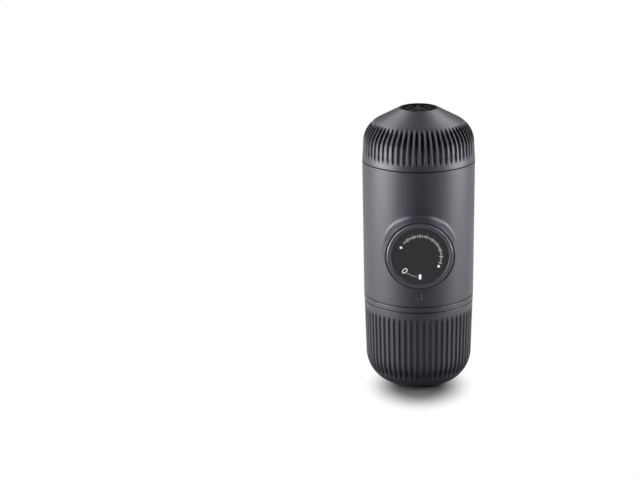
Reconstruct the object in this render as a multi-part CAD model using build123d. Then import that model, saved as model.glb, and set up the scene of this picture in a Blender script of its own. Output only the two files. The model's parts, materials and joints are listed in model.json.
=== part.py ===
from build123d import *
import math
import os

# Handheld manual espresso maker, millimetres, +Z up, origin at the centre of the flat
# foot of the cup.  From the foot upwards: a fluted cup, the outlet head with its filter
# basket, the main body with a side pump worked by a knob on -Y, and the fluted water tank.

# ---------------------------------------------------------------- outside sizes
BODY_R_LOW = 30.5       # main body at its lower edge; the other outlines step off it
BODY_FLARE = 0.5        # main body wider at its top
COLLAR_STEP = 0.1       # head collar narrower than the body
CUP_STEP = 0.15         # cup narrower than the collar
TANK_TAPER = 0.5        # tank wall narrower at its shoulder than at its rim
CUP_H = 47.5            # foot to cup rim
COLLAR_H = 3.75         # visible collar of the outlet head
BODY_H = 75.7           # main body
SEAM_CHAMFER = 0.15
SEAM_GAP = 0.45         # shadow gap at each of the three seams
SEAM_DEPTH = 0.9

# ---------------------------------------------------------------- cup
CUP_TAPER = 0.85        # wall narrower where the heel starts than at the rim
CUP_HEEL_Z = 16.9
CUP_HEEL_ARC_R = 19.3   # upper arc of the rounded foot
CUP_HEEL_ARC = 37.0     # degrees turned by the upper arc
CUP_WALL = 2.6
CUP_MOUTH_WALL = 2.2
CUP_FLUTES = 57
CUP_FLUTE_BAND = 3.0    # smooth band under the rim
CUP_FLUTE_SWEEP = 24.0  # degrees of the heel arc the flutes follow

# ---------------------------------------------------------------- flutes
FLUTE_W = 2.4           # groove with three flats: width at the surface, about
FLUTE_DEPTH = 0.95
FLUTE_RAMP = 3.2        # length over which a groove rises out of the wall at its ends
FLUTE_LIFT = 0.25       # the ramp ends this share of the depth above the surface
FLUTE_STEP_DEG = 14.0   # a groove goes round the heel or the shoulder in straight steps

# ---------------------------------------------------------------- water tank
TANK_WALL_H = 9.9
TANK_SHOULDER_R = 14.4
TANK_CONE_DEG = 27.8
TANK_WALL = 2.4
TANK_FLUTES = 60
TANK_FLUTE_BAND = 2.9
TANK_FLUTE_SWEEP = 42.0 # degrees of the shoulder arc the flutes follow

# ---------------------------------------------------------------- screw joints, as plain sleeves
SKIRT_L = 7.0           # engaged length of both screw joints
SKIRT_WALL = 2.0        # sleeve of the tank
THREAD_ROOM = 0.7       # radial room for the thread between sleeve and collar
SHELL_WALL = 2.1        # wall of the main shell at its lower end
COLLAR_WALL = 1.4       # threaded collars fixed inside the main shell

# ---------------------------------------------------------------- outlet head
SPIGOT_L = 6.0          # collar spigot inside the cup mouth
CUP_MOUTH_CLEAR = 0.15
GRIP_RING_H = 2.2       # ring that grips the cup
GRIP_RING_W = 2.0
RING_CLEAR = 0.05
HEAD_SKIRT_WALL = 2.2
BASKET_FLANGE = 3.0     # basket rim beyond its wall
BASKET_DEPTH = 14.8
BASKET_SHEET = 0.6
BASKET_DRAFT = 0.6
BASKET_LAND = 2.0       # straight wall under the basket's rim
BASKET_RIM_DROP = 0.45  # basket ledge below the top of the collar
BASKET_HOLE_R = 1.0
BASKET_HOLE_EDGE = 6.0  # outer row of holes inside the wall
HEAD_CLEAR = 0.3        # loose fits of basket, gasket and brewing plug
HEAD_BORE_CLEAR = 0.5
HEAD_WALL = 2.4
BOWL_GAP = 1.5          # basket floor above the funnel
FUNNEL_H = 3.6
SPOUT_R = 4.0
SPOUT_WALL = 2.4
SPOUT_BORE_R = 1.4
SPOUT_L = 12.9
SPOUT_FLANGE_H = 2.0
SPOUT_FLANGE_W = 3.4

# ---------------------------------------------------------------- brewing end of the body
GASKET_H = 2.0
GASKET_INSET = 0.2      # gasket narrower than the basket's rim
SKIRT_END_GAP = 1.55    # manifold above the end of the head's sleeve
MANIFOLD_H = 4.5
SCREEN_H = 1.0
SCREEN_CLEAR = 0.4
SCREEN_HOLE_R = 0.8
PLENUM_DEPTH = 1.4
PLENUM_EDGE = 1.5
PORT_R = 1.3

# ---------------------------------------------------------------- deck under the tank
DECK_H = 3.0
DECK_LEDGE_H = 4.45     # ledge of the tank's seal above the deck
DECK_LEDGE_W = 3.4
TANK_SEAL_H = 1.5
STRAINER_R = 5.4
STRAINER_H = 0.8
STRAINER_SEAT = 0.9
STRAINER_HOLE_R = 0.7
STRAINER_HOLE_CIRCLE = 2.4
STRAINER_SUMP = 0.4
STRAINER_EDGE = 0.4     # strainer clear of the ledge

# ---------------------------------------------------------------- pump, along the knob's axis
PUMP_FLOOR = 0.5        # boss bore above the manifold
STROKE = 18.0
STROKE_SPARE = 6.0      # bore left in front of the piston head at full stroke
BORE_R = 10.0
BORE_WALL = 2.4
BLOCK_EDGE = 1.8        # valve block inside the shell
BLOCK_CLEAR = 0.2
VALVE_EDGE = 6.1        # valves inside the back of the block
VALVE_STAND = 6.5       # valves behind the chamber's end
CYL_FLANGE_W = 1.8      # the knob's skirt passes over the flange
CYL_FLANGE_H = 2.0
BUSH_L = 4.0
BUSH_WALL = 0.9
BUSH_LIP_H = 1.0
BUSH_LIP_W = 1.6
PISTON_WALL = 1.6
PISTON_HEAD_CLEAR = 0.3
PISTON_HEAD_L = 6.0
PISTON_END_GAP = 2.0    # dead space behind the parked piston
PISTON_CROWN_H = 5.0
CROWN_FLOOR = 1.0       # under the knob screw's hole
SCREW_TIP_CLEAR = 0.2
PISTON_CLEAR = 0.1
SEAL_CLEAR = 0.05
SEAL_H = 2.4
SEAL_DEPTH = 1.3
SPRING_WIRE_R = 0.6
SPRING_CLEAR = 0.6
SPRING_TURNS = 7.0

# ---------------------------------------------------------------- knob and its boss
KNOB_STAND = 9.5        # knob's face in front of the body's radius
KNOB_R = 18.0
KNOB_BEZEL_W = 2.4
KNOB_ROUND = 0.9
KNOB_DEPTH = 8.7        # bezel length
KNOB_WEB_H = 2.2
KNOB_RECESS = 0.4       # dial below the bezel's edge
DIAL_H = 1.1
DIAL_CLEAR = 0.05
DIAL_CHAMFER = 0.25
KNOB_SKIRT_WALL = 1.8
KNOB_SKIRT_L = 6.8
KNOB_HUB_WALL = 1.8
KNOB_HUB_L = 6.0
KNOB_CLEAR = 0.2
LUG_H = 3.0
LUG_OUT = 1.3
LUG_ROOT = 0.5          # lug inside the skirt's wall
LUG_DEG = 20.0
LUGS = 3
LUG_SWING_CLEAR = 2.0   # degrees
TWIST_DEG = 46.0
LOCK_RING_H = 2.8
LOCK_RING_W = 0.5
LOCK_GAP = 0.5
BOSS_WALL = 1.0
BOSS_DRAFT = 0.5        # boss wider at its root
BOSS_DROP = 1.2         # boss rim behind the knob's face
BOSS_FILLET = 2.6
BOSS_LIP_ROUND = 0.4

# ---------------------------------------------------------------- valves
VALVE_BORE_R = 3.5
VALVE_PORT_R = 1.4
SEAT_H = 2.0
POPPET_R = 2.7
POPPET_H = 1.4
POPPET_STEM_R = 0.9
POPPET_STEM_L = 3.2
VALVE_SPRING_R = 2.1
VALVE_SPRING_WIRE_R = 0.3
VALVE_SPRING_L = 7.0
VALVE_SPRING_TURNS = 4.0
INLET_SEAT_DROP = 2.0   # inlet seat below the deck
OUTLET_SEAT_DROP = 6.0  # outlet seat below the pump axis
BLOCK_W = 18.0

# ---------------------------------------------------------------- frame and screws
FRAME_W = 46.0
FRAME_T = 8.0
FRAME_POST_W = 9.0
CLAMP_WALL = 2.4
SCREW_R = 1.2
SCREW_HEAD_R = 2.2
SCREW_HEAD_H = 1.6
SCREW_L = 14.0
FRAME_SCREW_X = 18.0
BIG_SCREW_R = 1.8
BIG_SCREW_HEAD_R = 4.0
BIG_SCREW_HEAD_H = 1.4
SHOWER_SCREW_L = 8.0
SLOT_W = 0.7            # driver slots
SLOT_H = 0.4

# ---------------------------------------------------------------- vent at the apex
VENT_R = 10.3
VENT_LIP = 0.35         # flat rim of the cone around the vent
VENT_CLEAR = 0.1
VENT_H = 2.4
VENT_RIM_W = 0.7
VENT_RIM_ROUND = 0.4
VENT_DISH = 1.3
VENT_BUMPS = 8
VENT_BUMP_R = 1.2
VENT_BUMP_CIRCLE = 6.0
VENT_HUB_R = 2.6
VENT_HOLE_R = 0.6
VENT_HOLE_CIRCLE = 3.4
VENT_FLOOR = 1.6
VALVE_STEM_R = 1.5
UMBRELLA_R = 5.0
UMBRELLA_H = 0.8

# ---------------------------------------------------------------- index mark on the body
MARK_W = 1.8            # at its floor; the sides widen outwards
MARK_H = 4.5
MARK_RISE = 4.15        # above the body's lower edge
MARK_DEPTH = 0.3
MARK_DRAFT = 40.0       # degrees

# ---------------------------------------------------------------- radii that follow
BODY_R_TOP = BODY_R_LOW + BODY_FLARE
COLLAR_R = BODY_R_LOW - COLLAR_STEP
CUP_RIM_R = COLLAR_R - CUP_STEP
CUP_HEEL_R = CUP_RIM_R - CUP_TAPER
TANK_WALL_R = BODY_R_TOP - TANK_TAPER
SHELL_R = BODY_R_LOW - SHELL_WALL
COLLAR_BORE_R = SHELL_R - COLLAR_WALL
SKIRT_R = COLLAR_BORE_R - THREAD_ROOM
SPIGOT_R = CUP_RIM_R - CUP_MOUTH_WALL - CUP_MOUTH_CLEAR
HEAD_BORE_R = SKIRT_R - HEAD_SKIRT_WALL
BASKET_RIM_R = HEAD_BORE_R - HEAD_CLEAR
BASKET_R = BASKET_RIM_R - BASKET_FLANGE
BOWL_R = BASKET_R + HEAD_BORE_CLEAR
GASKET_BORE_R = BASKET_R + GASKET_INSET
SCREEN_R = GASKET_BORE_R - SCREEN_CLEAR
LEDGE_BORE_R = COLLAR_BORE_R - DECK_LEDGE_W
BORE_BOSS_R = KNOB_R + KNOB_CLEAR
KNOB_SKIRT_R = BORE_BOSS_R - LOCK_RING_W - KNOB_CLEAR - LUG_OUT
BOSS_RIM_R = BORE_BOSS_R + BOSS_WALL
BOSS_ROOT_R = BOSS_RIM_R + BOSS_DRAFT
CLAMP_R = BORE_R + BORE_WALL
PISTON_R = BORE_R - BUSH_WALL - PISTON_CLEAR
PISTON_BORE_R = PISTON_R - PISTON_WALL
PISTON_HEAD_R = BORE_R - PISTON_HEAD_CLEAR
SPRING_R = PISTON_BORE_R - SPRING_CLEAR - SPRING_WIRE_R
APEX_R = VENT_R + VENT_LIP

# ---------------------------------------------------------------- heights that follow
COLLAR_TOP = CUP_H + COLLAR_H
BODY_TOP = COLLAR_TOP + BODY_H
CONE_RAD = math.radians(TANK_CONE_DEG)
SHOULDER_TOP = BODY_TOP + TANK_WALL_H + TANK_SHOULDER_R * math.cos(CONE_RAD)
SHOULDER_TOP_R = TANK_WALL_R - TANK_SHOULDER_R * (1 - math.sin(CONE_RAD))
TANK_TOP = SHOULDER_TOP + (SHOULDER_TOP_R - APEX_R) * math.tan(CONE_RAD)
LEDGE_Z = COLLAR_TOP - BASKET_RIM_DROP
BASKET_FLOOR = LEDGE_Z - BASKET_DEPTH
BOWL_Z = BASKET_FLOOR - BOWL_GAP
FUNNEL_Z = BOWL_Z - FUNNEL_H
SPOUT_TIP_Z = FUNNEL_Z - SPOUT_L
GASKET_Z = LEDGE_Z + BASKET_SHEET
PLUG_Z = GASKET_Z + GASKET_H
MANIFOLD_Z = COLLAR_TOP + SKIRT_L + SKIRT_END_GAP
MANIFOLD_TOP = MANIFOLD_Z + MANIFOLD_H
SPIGOT_Z = BODY_TOP - SKIRT_L
SEAL_Z = SPIGOT_Z - TANK_SEAL_H
DECK_TOP = SEAL_Z - DECK_LEDGE_H
DECK_Z = DECK_TOP - DECK_H
PUMP_Z = MANIFOLD_TOP + PUMP_FLOOR + BORE_BOSS_R

# ---------------------------------------------------------------- places along the pump's axis
BLOCK_BACK = SHELL_R - BLOCK_EDGE
VALVE_Y = BLOCK_BACK - VALVE_EDGE
BORE_BACK = -(VALVE_Y - VALVE_STAND)
PISTON_BACK = BORE_BACK + PISTON_END_GAP
CYL_FRONT = PISTON_BACK + PISTON_HEAD_L + STROKE + STROKE_SPARE + BUSH_L
KNOB_FACE = BODY_R_LOW + KNOB_STAND
BOSS_RIM = KNOB_FACE - BOSS_DROP
DIAL_BACK = KNOB_FACE - KNOB_RECESS - DIAL_H
WEB_BACK = DIAL_BACK - KNOB_WEB_H
KNOB_BACK = KNOB_FACE - KNOB_DEPTH
SKIRT_END = KNOB_BACK - KNOB_SKIRT_L
INLET_SEAT_Z = DECK_Z - INLET_SEAT_DROP - SEAT_H
OUTLET_SEAT_Z = PUMP_Z - OUTLET_SEAT_DROP - SEAT_H
STRAINER_Y = LEDGE_BORE_R - STRAINER_EDGE - STRAINER_R

# Local Z of anything placed by PUMP runs outwards along -Y from the main axis.
PUMP = Pos(0, 0, PUMP_Z) * Rot(90, 0, 0)


def turned(*points):
    """Solid of revolution about Z from a closed outline of (radius, height) points."""
    return revolve(Plane.XZ * make_face(Polyline(*points, close=True)), Axis.Z)


def ring(r_in, r_out, z0, z1):
    """Plain ring about Z."""
    return turned((r_in, z0), (r_out, z0), (r_out, z1), (r_in, z1))


def rod(radius, z0, z1):
    """Plain cylinder about Z between two heights."""
    return Pos(0, 0, z0) * Cylinder(radius, z1 - z0, align=(Align.CENTER, Align.CENTER, Align.MIN))


def block(width, depth, height, z0):
    """Box centred on Z that stands on height z0."""
    return Pos(0, 0, z0) * Box(width, depth, height, align=(Align.CENTER, Align.CENTER, Align.MIN))


def sector(r_in, r_out, z0, z1, start, sweep):
    """Part of a ring from angle start over sweep degrees."""
    outline = Plane.XZ * make_face(
        Polyline((r_in, z0), (r_out, z0), (r_out, z1), (r_in, z1), close=True)
    )
    return Rot(0, 0, start) * revolve(outline, Axis.Z, sweep)


def shadow_gap(radius, z0):
    """Narrow groove round the outside of a seam, from z0 upwards."""
    return ring(radius - SEAM_DEPTH, radius + SEAM_DEPTH, z0, z0 + SEAM_GAP)


def coil(radius, wire_r, length, turns):
    """Open helical spring that stands on Z = 0."""
    rise = length - 2 * wire_r
    path = Pos(0, 0, wire_r) * Helix(rise / turns, rise, radius)
    section = Plane(path @ 0, z_dir=path % 0) * RegularPolygon(wire_r, 6)
    return sweep(section, path)


# ---------------------------------------------------------------- cup
def foot_wire(inset):
    """Wall and rounded foot of the cup as connected edges, inset from the outside."""
    draft = math.atan2(CUP_RIM_R - CUP_HEEL_R, CUP_H - CUP_HEEL_Z)
    normal = Vector(math.cos(draft), -math.sin(draft)) * inset
    top = Vector(CUP_RIM_R, CUP_H) - normal
    heel = Vector(CUP_HEEL_R, CUP_HEEL_Z) - normal
    down = heel - top
    upper = JernArc(heel, down, CUP_HEEL_ARC_R - inset, -CUP_HEEL_ARC)
    turn = math.radians(CUP_HEEL_ARC) + draft
    drop = CUP_HEEL_Z + CUP_HEEL_ARC_R * math.sin(draft)
    outer_z = drop - CUP_HEEL_ARC_R * math.sin(turn)
    lower_r = outer_z / (1 - math.sin(turn)) - inset
    lower = JernArc(upper @ 1, upper % 1, lower_r, -(90 - math.degrees(turn)))
    return Line(top, heel), upper, lower


def cup_shell():
    outside = foot_wire(0)
    rim = outside[0] @ 0
    foot = outside[2] @ 1
    solid = revolve(
        Plane.XZ * make_face([*outside, Polyline(foot, (0, foot.Y), (0, rim.Y), rim)]), Axis.Z
    )
    inside = foot_wire(CUP_WALL)
    top = Vector((inside[0] @ 0).X, CUP_H + 1)
    floor = inside[2] @ 1
    hollow = revolve(
        Plane.XZ
        * make_face([*inside, Polyline(floor, (0, floor.Y), (0, top.Y), top, inside[0] @ 0)]),
        Axis.Z,
    )
    mouth = rod(SPIGOT_R + CUP_MOUTH_CLEAR, CUP_H - SPIGOT_L - 1, CUP_H + 1)
    shell = solid - hollow - mouth
    shell = chamfer(shell.edges().group_by(Axis.Z)[-1].sort_by(SortBy.RADIUS)[-1], SEAM_CHAMFER)
    return shell - flutes(cup_flute(), CUP_FLUTES)


# A groove is cut by a hexagonal bar, one flat inwards, that follows the wall and the rounded
# edge after it.  The bar's centre line runs FLUTE_OFF outside the surface, and a ramp lifts it
# out of the wall at both ends, as a milling cutter leaves its cut.
FLUTE_SIDE_R = FLUTE_W / 2 / math.cos(math.radians(15))
FLUTE_OFF = FLUTE_SIDE_R * math.cos(math.radians(30)) - FLUTE_DEPTH


def flute_cutter(start, knee, radius, sweep_deg):
    """Cutter from start along the wall to knee, then round an arc of signed angle sweep_deg."""
    bend = JernArc(knee, knee - start, radius, sweep_deg)
    steps = math.ceil(abs(sweep_deg) / FLUTE_STEP_DEG)
    knots = [bend @ (n / steps) for n in range(steps + 1)]
    side = math.copysign(1, sweep_deg)

    def out_of(direction):
        return Vector(direction.Y, -direction.X) * side * FLUTE_DEPTH * (1 + FLUTE_LIFT)

    first = start - (bend % 0) * FLUTE_RAMP + out_of(bend % 0)
    last = knots[-1] + (bend % 1) * FLUTE_RAMP + out_of(bend % 1)
    path = Plane.XZ * Polyline(first, start, *knots, last)
    plane = Plane(path @ 0, x_dir=(0, 1, 0), z_dir=path % 0)
    return sweep(plane * RegularPolygon(FLUTE_SIDE_R, 6), path, transition=Transition.RIGHT)


def cup_flute():
    wall, _, _ = foot_wire(-FLUTE_OFF)
    start = wall @ 0 + (wall % 0) * (CUP_FLUTE_BAND + FLUTE_RAMP)
    return flute_cutter(start, wall @ 1, CUP_HEEL_ARC_R + FLUTE_OFF, -CUP_FLUTE_SWEEP)


def flutes(cutter, count):
    """Polar pattern of one cutter."""
    return [Rot(0, 0, (n + 0.5) * 360 / count) * cutter for n in range(count)]


# ---------------------------------------------------------------- outlet head
def head_shell():
    spigot_z = CUP_H - SPIGOT_L
    bowl_out = BOWL_R + HEAD_WALL
    boss_r = SPOUT_R + SPOUT_WALL
    web = HEAD_WALL / 2
    shell = turned(
        (SPOUT_R, SPOUT_TIP_Z + SPOUT_FLANGE_H),
        (boss_r, SPOUT_TIP_Z + SPOUT_FLANGE_H),
        (boss_r, FUNNEL_Z - HEAD_WALL),
        (bowl_out - web, BOWL_Z - HEAD_WALL),
        (bowl_out, BOWL_Z),
        (bowl_out, CUP_H - web),
        (SPIGOT_R - HEAD_WALL, CUP_H - web),
        (SPIGOT_R - HEAD_WALL, spigot_z),
        (SPIGOT_R, spigot_z),
        (SPIGOT_R, CUP_H),
        (COLLAR_R, CUP_H),
        (COLLAR_R, COLLAR_TOP),
        (SKIRT_R, COLLAR_TOP),
        (SKIRT_R, COLLAR_TOP + SKIRT_L),
        (HEAD_BORE_R, COLLAR_TOP + SKIRT_L),
        (HEAD_BORE_R, LEDGE_Z),
        (BOWL_R, LEDGE_Z),
        (BOWL_R, BOWL_Z),
        (SPOUT_R, FUNNEL_Z),
    )
    shell -= shadow_gap(COLLAR_R, CUP_H)
    shell -= shadow_gap(COLLAR_R, COLLAR_TOP - SEAM_GAP)
    rims = [e for e in shell.edges() if e.geom_type == GeomType.CIRCLE and e.radius > COLLAR_R - 0.01]
    shell = chamfer(rims, SEAM_CHAMFER)
    low, high, grip_r = grip_ring_place()
    return shell - ring(grip_r - GRIP_RING_W, SPIGOT_R + 1, low, high)


def grip_ring_place():
    """Lower and upper face and outer radius of the ring that grips the cup."""
    middle = CUP_H - SPIGOT_L / 2
    return middle - GRIP_RING_H / 2, middle + GRIP_RING_H / 2, SPIGOT_R + CUP_MOUTH_CLEAR - RING_CLEAR


def cup_grip_ring():
    """Soft ring with a rounded outside."""
    low, high, grip_r = grip_ring_place()
    body = ring(grip_r - GRIP_RING_W, grip_r, low, high)
    corners = body.edges().filter_by(GeomType.CIRCLE).group_by(SortBy.RADIUS)[-1]
    return chamfer(corners, GRIP_RING_H / 4)


def spout_nozzle():
    flange_top = SPOUT_TIP_Z + SPOUT_FLANGE_H
    flange_r = SPOUT_R + SPOUT_FLANGE_W
    edge = SPOUT_FLANGE_H / 2
    return turned(
        (SPOUT_BORE_R, flange_top),
        (SPOUT_R - SPOUT_WALL / 2, SPOUT_TIP_Z),
        (flange_r - edge, SPOUT_TIP_Z),
        (flange_r, SPOUT_TIP_Z + edge),
        (flange_r, flange_top),
        (SPOUT_R, flange_top),
        (SPOUT_R, FUNNEL_Z),
        (SPOUT_BORE_R, FUNNEL_Z),
    )


def filter_basket():
    floor_r = BASKET_R - BASKET_DRAFT
    land_z = LEDGE_Z - BASKET_LAND
    shell = turned(
        (0, BASKET_FLOOR),
        (floor_r, BASKET_FLOOR),
        (BASKET_R, land_z),
        (BASKET_R, LEDGE_Z),
        (BASKET_RIM_R, LEDGE_Z),
        (BASKET_RIM_R, GASKET_Z),
        (BASKET_R - BASKET_SHEET, GASKET_Z),
        (BASKET_R - BASKET_SHEET, land_z),
        (floor_r - BASKET_SHEET, BASKET_FLOOR + BASKET_SHEET),
        (0, BASKET_FLOOR + BASKET_SHEET),
    )
    drill = rod(BASKET_HOLE_R, BASKET_FLOOR - 1, BASKET_FLOOR + 1)
    pitch = (BASKET_R - BASKET_HOLE_EDGE) / 2
    holes = [drill]
    holes += [loc * drill for loc in PolarLocations(pitch, 6)]
    holes += [loc * drill for loc in PolarLocations(2 * pitch, 12)]
    return shell - holes


def brew_gasket():
    return ring(GASKET_BORE_R, BASKET_RIM_R, GASKET_Z, PLUG_Z)


# ---------------------------------------------------------------- main body
def main_shell():
    body = Pos(0, 0, COLLAR_TOP) * Cone(
        BODY_R_LOW, BODY_R_TOP, BODY_H, align=(Align.CENTER, Align.CENTER, Align.MIN)
    )
    boss = PUMP * turned(
        (0, BODY_R_LOW / 2), (BOSS_ROOT_R, BODY_R_LOW / 2), (BOSS_ROOT_R, KNOB_SKIRT_R + LUG_H),
        (BOSS_RIM_R, BOSS_RIM), (0, BOSS_RIM)
    )
    body += boss
    root = [
        e for e in body.edges()
        if e.geom_type not in (GeomType.LINE, GeomType.CIRCLE)
        and e.center().Y < 0 and abs(e.center().Z - PUMP_Z) < BOSS_ROOT_R
    ]
    body = fillet(root, BOSS_FILLET)
    lip = [
        e for e in body.edges()
        if e.geom_type == GeomType.CIRCLE and e.center().Y < -BOSS_RIM + 0.01
    ]
    body = fillet(lip, BOSS_LIP_ROUND)
    body -= rod(SHELL_R, COLLAR_TOP - 1, BODY_TOP + 1)
    body -= PUMP * rod(BORE_BOSS_R, BODY_R_LOW / 2, BOSS_RIM + 1)
    ends = [
        e for e in body.edges()
        if e.geom_type == GeomType.CIRCLE and e.radius > BODY_R_LOW - 0.01
    ]
    body = chamfer(ends, SEAM_CHAMFER)
    floor = Plane.XZ.offset(BODY_R_LOW - MARK_DEPTH) * SlotOverall(MARK_H, MARK_W, rotation=90)
    mark = extrude(floor, 2 * MARK_DEPTH, taper=-MARK_DRAFT)
    return body - Pos(0, 0, COLLAR_TOP + MARK_RISE + MARK_H / 2) * mark


def lower_collar():
    return ring(COLLAR_BORE_R, SHELL_R, COLLAR_TOP, MANIFOLD_Z)


def upper_collar():
    return ring(COLLAR_BORE_R, SHELL_R, DECK_TOP, BODY_TOP - SEAM_CHAMFER)


def brew_head():
    head = turned(
        (0, PLUG_Z),
        (BASKET_RIM_R, PLUG_Z),
        (BASKET_RIM_R, MANIFOLD_Z),
        (SHELL_R, MANIFOLD_Z),
        (SHELL_R, MANIFOLD_TOP),
        (0, MANIFOLD_TOP),
    )
    head -= ring(BIG_SCREW_HEAD_R, SCREEN_R - PLENUM_EDGE, PLUG_Z - 1, PLUG_Z + PLENUM_DEPTH)
    feed_z = MANIFOLD_Z + MANIFOLD_H / 3
    inner_y = BIG_SCREW_HEAD_R + PORT_R
    head -= Pos(0, VALVE_Y, 0) * rod(PORT_R, feed_z, MANIFOLD_TOP + 1)
    head -= Pos(0, inner_y, 0) * rod(PORT_R, PLUG_Z, feed_z)
    head -= Pos(0, VALVE_Y, feed_z) * Rot(90, 0, 0) * rod(PORT_R, 0, VALVE_Y - inner_y)
    head -= rod(BIG_SCREW_R, PLUG_Z - 1, PLUG_Z + SHOWER_SCREW_L)
    return head - [screw_hole(loc, PLUG_Z + PLENUM_DEPTH, 1) for loc in frame_screw_spots()]


def shower_screen():
    z0 = PLUG_Z - SCREEN_H
    plate = rod(SCREEN_R, z0, PLUG_Z) - rod(BIG_SCREW_R, z0 - 1, PLUG_Z + 1)
    drill = rod(SCREEN_HOLE_R, z0 - 1, PLUG_Z + 1)
    pitch = (SCREEN_R - BIG_SCREW_HEAD_R) / 3
    holes = [loc * drill for loc in PolarLocations(BIG_SCREW_HEAD_R + pitch, 8)]
    holes += [loc * drill for loc in PolarLocations(BIG_SCREW_HEAD_R + 2 * pitch, 16)]
    return plate - holes


def shower_screw():
    top = PLUG_Z - SCREEN_H
    head = rod(BIG_SCREW_HEAD_R, top - BASKET_SHEET, top)
    slot = block(2 * BIG_SCREW_HEAD_R, SLOT_W, SLOT_H, top - BASKET_SHEET)
    return head + rod(BIG_SCREW_R, top, PLUG_Z + SHOWER_SCREW_L) - slot


def valve_block():
    """Manifold behind the pump chamber with the two stacked check valves."""
    depth = BLOCK_BACK + BORE_BACK
    body = Pos(0, BLOCK_BACK - depth / 2, 0) * block(BLOCK_W, depth, DECK_Z - MANIFOLD_TOP, MANIFOLD_TOP)
    body = body & rod(SHELL_R - BLOCK_CLEAR, MANIFOLD_TOP, DECK_Z)
    room = POPPET_H + VALVE_SPRING_L
    channel = rod(VALVE_PORT_R, MANIFOLD_TOP - 1, DECK_Z)
    channel += rod(VALVE_BORE_R, INLET_SEAT_Z - room, DECK_Z + 1)
    channel += rod(VALVE_BORE_R, OUTLET_SEAT_Z - room, OUTLET_SEAT_Z + SEAT_H)
    body -= Pos(0, VALVE_Y, 0) * channel
    return body - PUMP * rod(VALVE_PORT_R, -VALVE_Y, BORE_BACK + 1)


def pump_frame():
    """Upright plate that holds the cylinder between the brewing head and the deck."""
    plate = block(FRAME_W, FRAME_T, DECK_Z - MANIFOLD_TOP, MANIFOLD_TOP)
    gap_w = FRAME_W - 2 * FRAME_POST_W
    arch = PUMP * rod(CLAMP_R + CLAMP_WALL, -FRAME_T, FRAME_T)
    plate -= block(gap_w, FRAME_T + 2, DECK_Z + 1 - PUMP_Z, PUMP_Z) - arch
    plate -= PUMP * rod(CLAMP_R, -FRAME_T, FRAME_T)
    holes = [Pos(s * FRAME_SCREW_X, 0, 0) * rod(SCREW_R, DECK_Z - SCREW_L, DECK_Z + 1) for s in (-1, 1)]
    holes += [
        Pos(s * FRAME_SCREW_X, 0, 0) * rod(SCREW_R, MANIFOLD_TOP - 1, MANIFOLD_TOP + SCREW_L)
        for s in (-1, 1)
    ]
    return plate - holes


def pump_cylinder():
    tube = rod(CLAMP_R, BORE_BACK, CYL_FRONT)
    tube += rod(CLAMP_R + CYL_FLANGE_W, CYL_FRONT - CYL_FLANGE_H, CYL_FRONT)
    tube -= rod(BORE_R, BORE_BACK - 1, CYL_FRONT + 1)
    return PUMP * tube


def guide_bush():
    bush = ring(PISTON_R + PISTON_CLEAR, BORE_R, CYL_FRONT - BUSH_L, CYL_FRONT)
    lip = ring(PISTON_R + PISTON_CLEAR, BORE_R + BUSH_LIP_W, CYL_FRONT, CYL_FRONT + BUSH_LIP_H)
    return PUMP * (bush + lip)


def lock_ring():
    """Bayonet ring pressed into the boss: three flanges with open windows between."""
    front = KNOB_BACK - LOCK_GAP
    back = front - LOCK_RING_H
    hoop = ring(KNOB_SKIRT_R + LUG_OUT + KNOB_CLEAR, BORE_BOSS_R, back, front)
    pitch = 360 / LUGS
    window = TWIST_DEG + LUG_DEG + 2 * LUG_SWING_CLEAR
    for n in range(LUGS):
        start = n * pitch + LUG_DEG / 2 + TWIST_DEG + LUG_SWING_CLEAR
        hoop += sector(KNOB_SKIRT_R + KNOB_CLEAR, BORE_BOSS_R, back, front, start, pitch - window)
    return PUMP * hoop


# ---------------------------------------------------------------- deck and valves
def frame_screw_spots():
    return [Pos(-FRAME_SCREW_X, 0, 0), Pos(FRAME_SCREW_X, 0, 0)]


def screw_hole(spot, head_z, direction):
    """Clearance for a screw whose head seats against head_z, shank towards direction."""
    tip = head_z + direction * 2 * SCREW_L
    low, high = sorted((head_z - direction * 0.01, tip))
    head_low, head_high = sorted((head_z - direction * 20, head_z + direction * SCREW_HEAD_H))
    return spot * (rod(SCREW_R, low, high) + rod(SCREW_HEAD_R, head_low, head_high))


def water_deck():
    """Floor of the water space with the ledge for the tank's seal."""
    deck = turned(
        (0, DECK_Z),
        (SHELL_R, DECK_Z),
        (SHELL_R, DECK_TOP),
        (COLLAR_BORE_R, DECK_TOP),
        (COLLAR_BORE_R, SEAL_Z),
        (LEDGE_BORE_R, SEAL_Z),
        (LEDGE_BORE_R, DECK_TOP),
        (0, DECK_TOP),
    )
    seat_z = DECK_TOP - STRAINER_H
    sump = Pos(0, STRAINER_Y, 0) * rod(STRAINER_R - STRAINER_SEAT, seat_z - STRAINER_SUMP, DECK_TOP + 1)
    deck -= Pos(0, STRAINER_Y, 0) * rod(STRAINER_R, seat_z, DECK_TOP + 1)
    deck -= sump
    deck -= Pos(0, VALVE_Y, 0) * rod(PORT_R, DECK_Z - 1, seat_z)
    return deck - [screw_hole(spot, DECK_TOP, -1) for spot in frame_screw_spots()]


def inlet_strainer():
    z0 = DECK_TOP - STRAINER_H
    drill = rod(STRAINER_HOLE_R, z0 - 1, DECK_TOP + 1)
    holes = [drill] + [loc * drill for loc in PolarLocations(STRAINER_HOLE_CIRCLE, 6)]
    return Pos(0, STRAINER_Y, 0) * (rod(STRAINER_R, z0, DECK_TOP) - holes)


def screw():
    """Pan-head screw that points down from the underside of its head at Z = 0."""
    head = rod(SCREW_HEAD_R, 0, SCREW_HEAD_H)
    slot = block(2 * SCREW_HEAD_R, SLOT_W, SLOT_H, SCREW_HEAD_H - SLOT_H)
    return head + rod(SCREW_R, -SCREW_L, 0) - slot


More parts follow.
